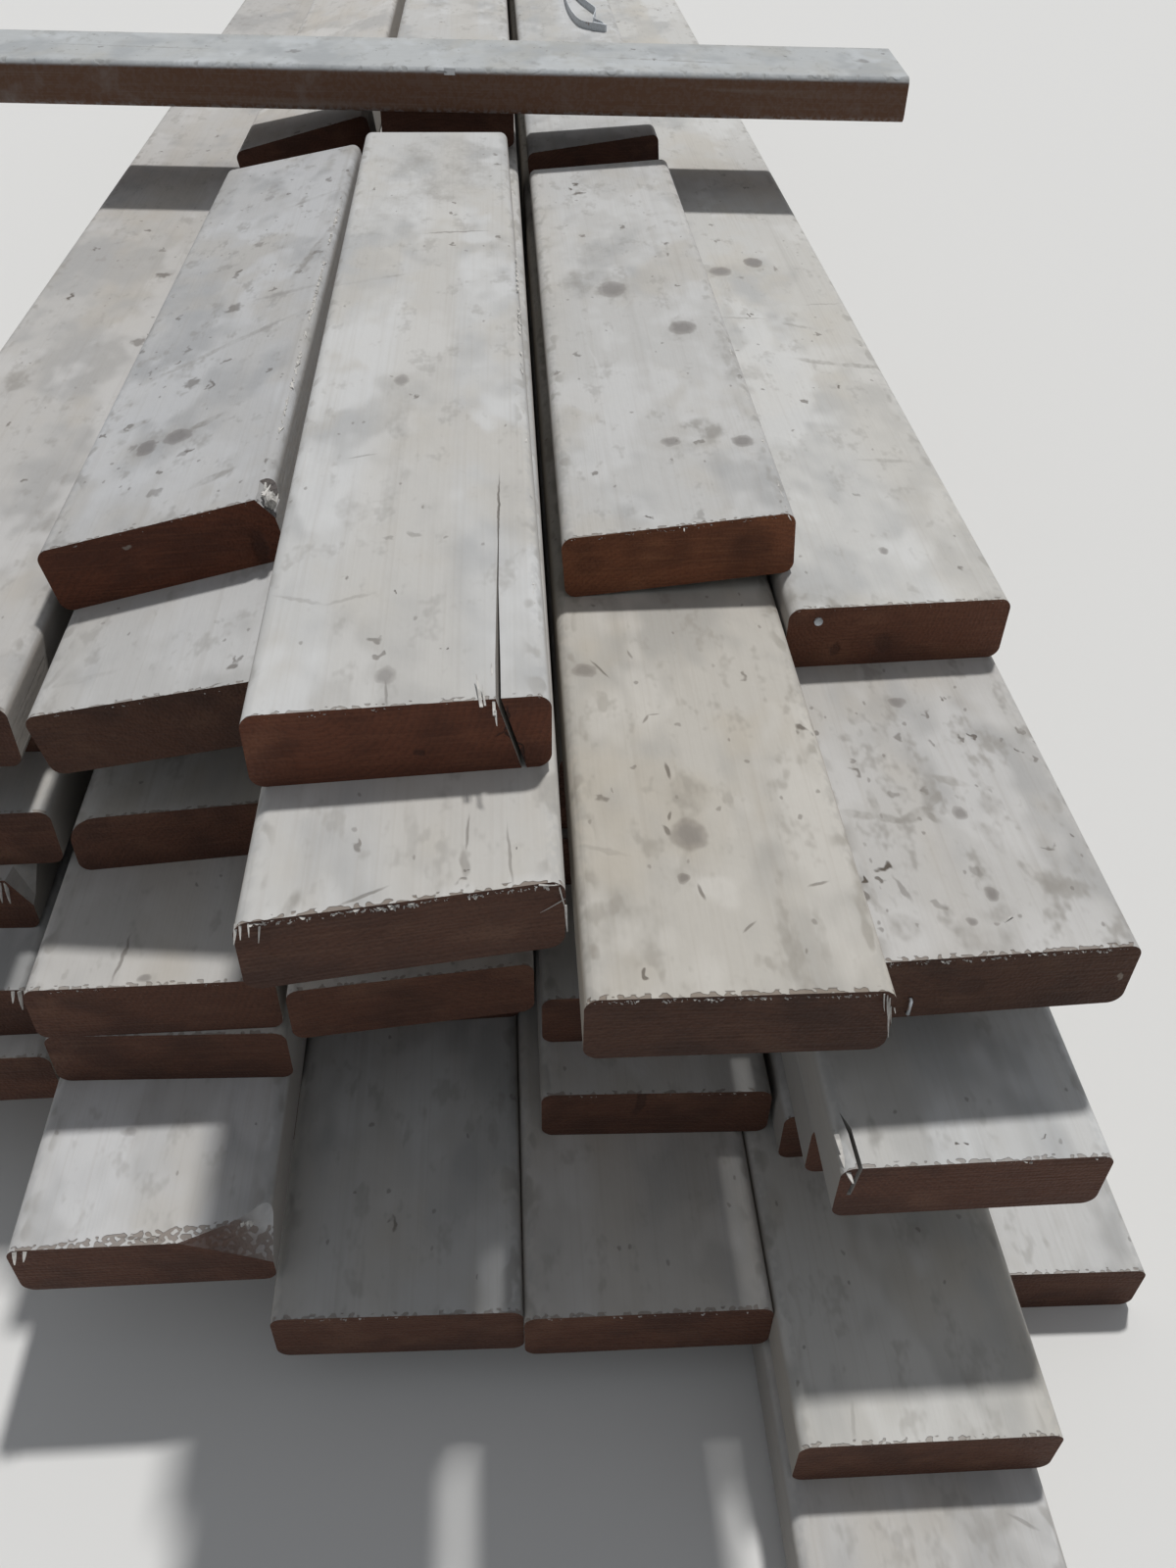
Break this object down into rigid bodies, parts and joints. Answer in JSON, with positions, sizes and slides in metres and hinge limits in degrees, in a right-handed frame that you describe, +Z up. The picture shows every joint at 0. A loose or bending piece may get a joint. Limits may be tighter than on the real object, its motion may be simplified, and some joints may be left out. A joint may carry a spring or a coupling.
{
  "type": "stack of lumber",
  "caption": "Stack of long sawn softwood planks laid flat in side-by-side rows with staggered ends, short planks on top and one batten lying across.",
  "frame": {"origin": "on the floor under the middle of the whole stack's bounding box", "axes": "+Z up, +Y along the planks away from their staggered ends, +X to the right seen from those ends"},
  "size_m": [1.2076, 3.52, 0.495],
  "materials": {
    "sawn_wood": "planed softwood with eased arrises, greyed by weather on top, knots and stains, rough sawn reddish brown ends",
    "greyed_wood": "planed softwood weathered to a pale grey on top, dark knots, checks and torn fibres at the ends",
    "lath_wood": "rough sawn softwood lath"
  },
  "bodies": {
    "root": {"cross_batten": "greyed_wood", "far_left_plank_01": "sawn_wood", "far_left_plank_02": "sawn_wood", "far_left_plank_03": "sawn_wood", "far_left_plank_04": "sawn_wood", "far_left_plank_05": "sawn_wood", "far_left_plank_06": "sawn_wood", "far_left_plank_07": "sawn_wood", "far_left_plank_08": "sawn_wood", "far_right_outer_plank": "sawn_wood", "far_right_plank_01": "sawn_wood", "far_right_plank_02": "sawn_wood", "far_right_plank_03": "sawn_wood", "far_right_plank_04": "sawn_wood", "far_right_plank_05": "sawn_wood", "far_right_plank_06": "sawn_wood", "far_right_plank_07": "sawn_wood", "far_right_plank_08": "sawn_wood", "left_back_plank": "greyed_wood", "left_plank_01": "sawn_wood", "left_plank_02": "sawn_wood", "left_plank_03": "sawn_wood", "left_plank_04": "sawn_wood", "left_plank_05": "sawn_wood", "left_plank_06": "sawn_wood", "left_plank_07": "sawn_wood", "left_short_plank": "greyed_wood", "left_tilted_plank": "sawn_wood", "middle_back_plank": "greyed_wood", "middle_plank_01": "sawn_wood", "middle_plank_02": "sawn_wood", "middle_plank_03": "sawn_wood", "middle_plank_04": "sawn_wood", "middle_plank_05": "sawn_wood", "middle_plank_06": "sawn_wood", "middle_plank_07": "sawn_wood", "middle_plank_08": "sawn_wood", "middle_plank_09": "sawn_wood", "middle_short_plank": "greyed_wood", "packing_lath": "lath_wood", "right_back_plank": "greyed_wood", "right_plank_01": "sawn_wood", "right_plank_02": "sawn_wood", "right_plank_03": "sawn_wood", "right_plank_04": "sawn_wood", "right_plank_05": "sawn_wood", "right_plank_06": "sawn_wood", "right_plank_07": "sawn_wood", "right_plank_08": "sawn_wood", "right_short_plank": "greyed_wood"}
  },
  "joints": []
}
